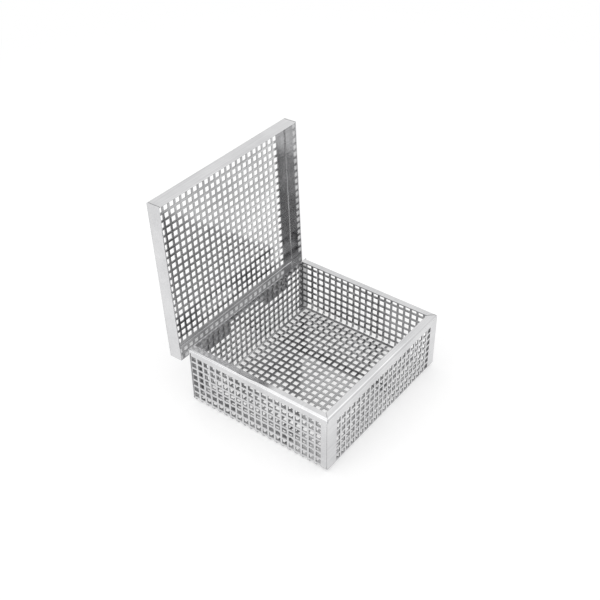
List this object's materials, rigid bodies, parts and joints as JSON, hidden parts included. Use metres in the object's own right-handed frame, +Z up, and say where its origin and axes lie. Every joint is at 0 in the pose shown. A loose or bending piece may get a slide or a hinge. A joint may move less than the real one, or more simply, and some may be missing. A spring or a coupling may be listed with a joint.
{
  "type": "autoclave basket",
  "caption": "Rectangular sterilisation tray folded from square-perforated stainless sheet, with an inward rim and a hinged perforated lid that stands open.",
  "frame": {"origin": "centre of the underside of the floor", "axes": "+Z up, -Y the front, +Y the hinge side, +X along the hinges"},
  "size_m": [0.1752, 0.1735, 0.1994],
  "materials": {
    "basket_sheet": "electropolished stainless",
    "lid_sheet": "electropolished stainless",
    "hinge_leaf": "satin",
    "hinge_pin": "satin"
  },
  "bodies": {
    "basket": {"basket_tray": "basket_sheet", "hinge_leaf_basket_left": "hinge_leaf", "hinge_leaf_basket_right": "hinge_leaf", "hinge_pin_left": "hinge_pin", "hinge_pin_right": "hinge_pin"},
    "lid": {"lid_tray": "lid_sheet", "hinge_leaf_lid_left": "hinge_leaf", "hinge_leaf_lid_right": "hinge_leaf"}
  },
  "joints": [
    {"name": "lid_hinge", "type": "hinge", "parent": "basket", "child": "lid", "pos_m": [0, 0.07855, 0.04515], "axis": [1, 0, 0], "range_deg": [0, 92.2]}
  ]
}
